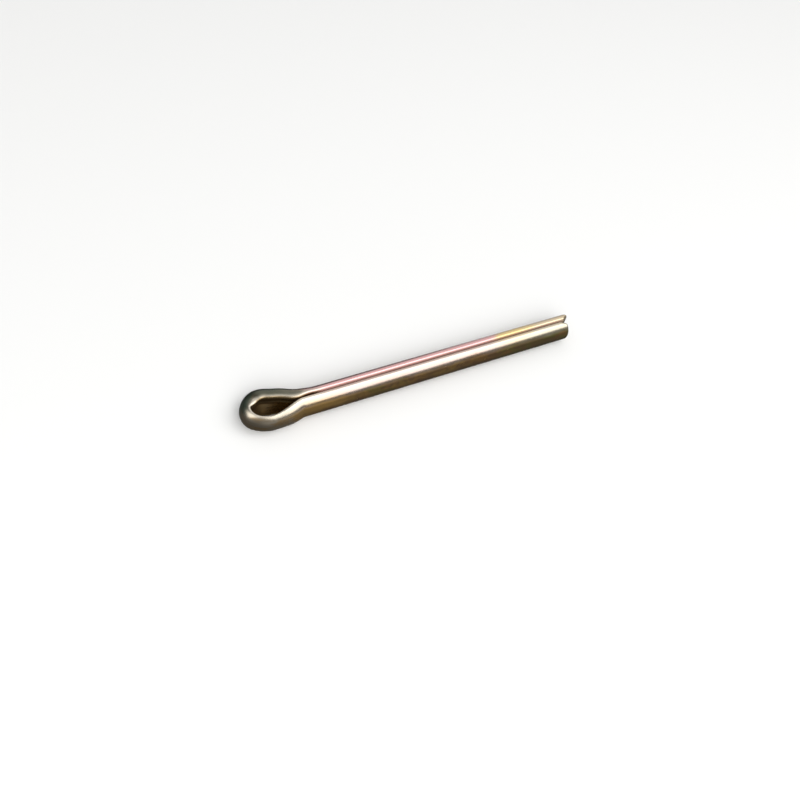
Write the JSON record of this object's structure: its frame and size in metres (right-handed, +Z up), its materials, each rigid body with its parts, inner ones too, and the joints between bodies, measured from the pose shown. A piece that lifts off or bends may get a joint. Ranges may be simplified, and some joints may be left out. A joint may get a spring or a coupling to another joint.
{
  "type": "split cotter pin",
  "caption": "Half-round wire folded at an offset eye into two flat-to-flat legs that form a round shank, one leg slightly longer, yellow zinc plated.",
  "frame": {"origin": "on the axis of the shank, at the seat where the two legs start to part into the eye", "axes": "+X along the shank from the eye to the tips, +Y in the plane of the fold towards the long leg, +Z up from the surface that the pin lies on"},
  "size_m": [0.0545, 0.0066, 0.0036],
  "materials": {
    "plated_wire": "drawn steel wire, bright yellow zinc plate with a faint pink and green sheen"
  },
  "bodies": {
    "root": {"cotter_pin": "plated_wire"}
  },
  "joints": []
}
